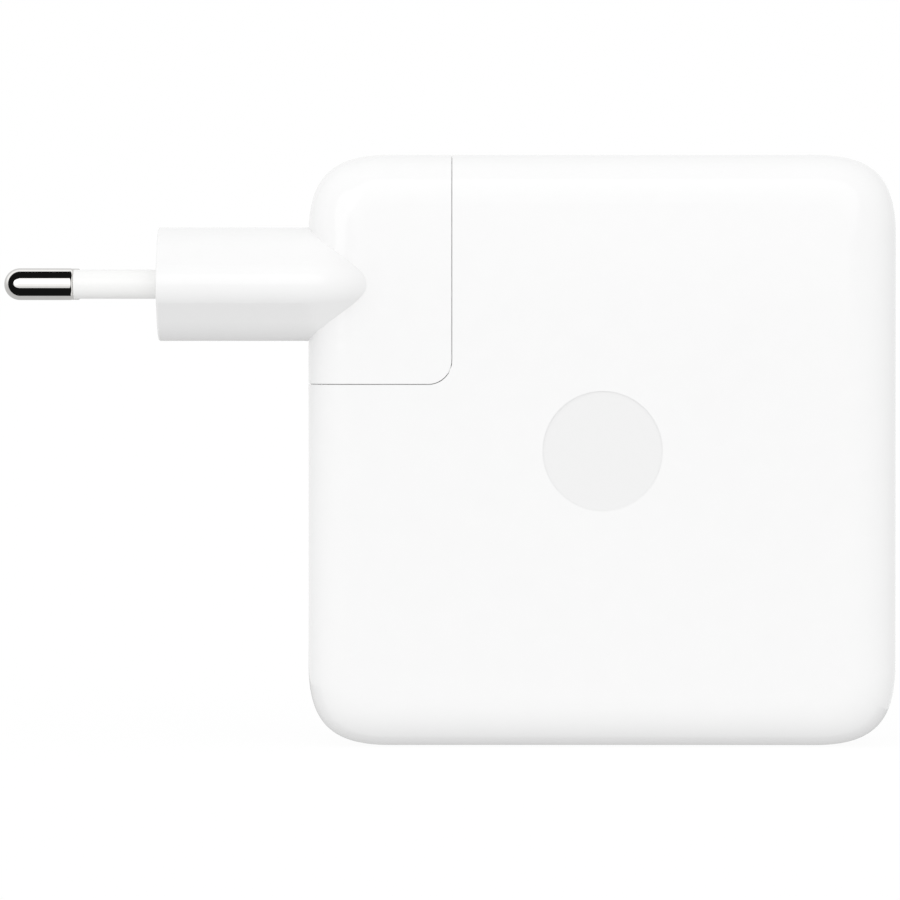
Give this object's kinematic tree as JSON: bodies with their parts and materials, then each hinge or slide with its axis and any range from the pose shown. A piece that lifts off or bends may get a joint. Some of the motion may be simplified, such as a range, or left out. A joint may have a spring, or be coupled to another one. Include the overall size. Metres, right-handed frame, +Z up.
{
  "type": "laptop power adapter",
  "caption": "Rounded square plug-in power adapter with a USB-C socket in one side and a slide-off two-pin mains plug head in its top corner.",
  "frame": {"origin": "middle of the narrow bottom face that the adapter stands on", "axes": "+X to the right across the broad face, away from the mains pins; +Y to the rear through the thickness; +Z up, the way the plug head slides off"},
  "size_m": [0.1123, 0.0354, 0.0744],
  "materials": {
    "case_white": "glossy moulded polycarbonate",
    "insert_white": "satin moulded polycarbonate",
    "sleeve_white": "satin moulded sleeve",
    "pin_nickel": "nickel plated and polished",
    "contact_bronze": "stamped spring bronze",
    "stud_steel": "turned steel",
    "board_laminate": "solder-masked glass laminate",
    "ferrite": "sintered ferrite",
    "winding_copper": "enamelled copper wire",
    "film_amber": "polyimide film",
    "spreader_aluminium": "rolled sheet",
    "capacitor_can": "sleeved aluminium can",
    "package_black": "moulded epoxy",
    "part_ceramic": "dipped ceramic disc",
    "film_capacitor": "moulded box",
    "chip_ceramic": "sintered chips",
    "bobbin_black": "moulded phenolic",
    "pad_grey": "filled silicone",
    "lead_sheath": "silicone-sheathed wire",
    "socket_steel": "drawn stainless steel",
    "contact_gold": "gold flash on copper alloy"
  },
  "bodies": {
    "adapter_body": {"front_shell": "case_white", "rear_shell": "case_white", "inlet_block": "insert_white", "inlet_pin_front": "pin_nickel", "inlet_pin_rear": "pin_nickel", "lock_stud": "stud_steel", "stud_nut": "stud_steel", "main_board": "board_laminate", "usb_board": "board_laminate", "transformer_core_front": "ferrite", "transformer_core_rear": "ferrite", "choke_core": "ferrite", "output_inductor": "ferrite", "transformer_windings": "winding_copper", "choke_windings": "winding_copper", "insulating_film_front": "film_amber", "insulating_film_rear": "film_amber", "heat_spreader_front": "spreader_aluminium", "heat_spreader_rear": "spreader_aluminium", "heatsink": "spreader_aluminium", "bulk_capacitors": "capacitor_can", "output_capacitors": "capacitor_can", "bridge_rectifier": "package_black", "switching_transistor": "package_black", "optocoupler": "package_black", "control_chips": "package_black", "output_rectifier": "package_black", "fuse": "package_black", "surge_varistor": "part_ceramic", "y_capacitor": "part_ceramic", "inrush_thermistor": "part_ceramic", "x_capacitor": "film_capacitor", "chip_parts": "chip_ceramic", "transformer_bobbin": "bobbin_black", "usb_header": "bobbin_black", "usb_tongue": "bobbin_black", "thermal_pad_front": "pad_grey", "thermal_pad_rear": "pad_grey", "supply_lead_front": "lead_sheath", "supply_lead_rear": "lead_sheath", "usb_shell": "socket_steel", "usb_contacts": "contact_gold"},
    "plug_head": {"plug_housing": "case_white", "plug_cover": "insert_white", "nose_insert": "insert_white", "pin_carrier": "insert_white", "pin_sleeve_front": "sleeve_white", "pin_sleeve_rear": "sleeve_white", "mains_pin_front": "pin_nickel", "mains_pin_rear": "pin_nickel", "contact_tube_front": "contact_bronze", "contact_tube_rear": "contact_bronze", "contact_strip_front": "contact_bronze", "contact_strip_rear": "contact_bronze"}
  },
  "joints": [
    {"name": "plug_slide", "type": "slide", "parent": "adapter_body", "child": "plug_head", "axis": [0, 0, 1], "range_m": [0, 0.04]}
  ]
}
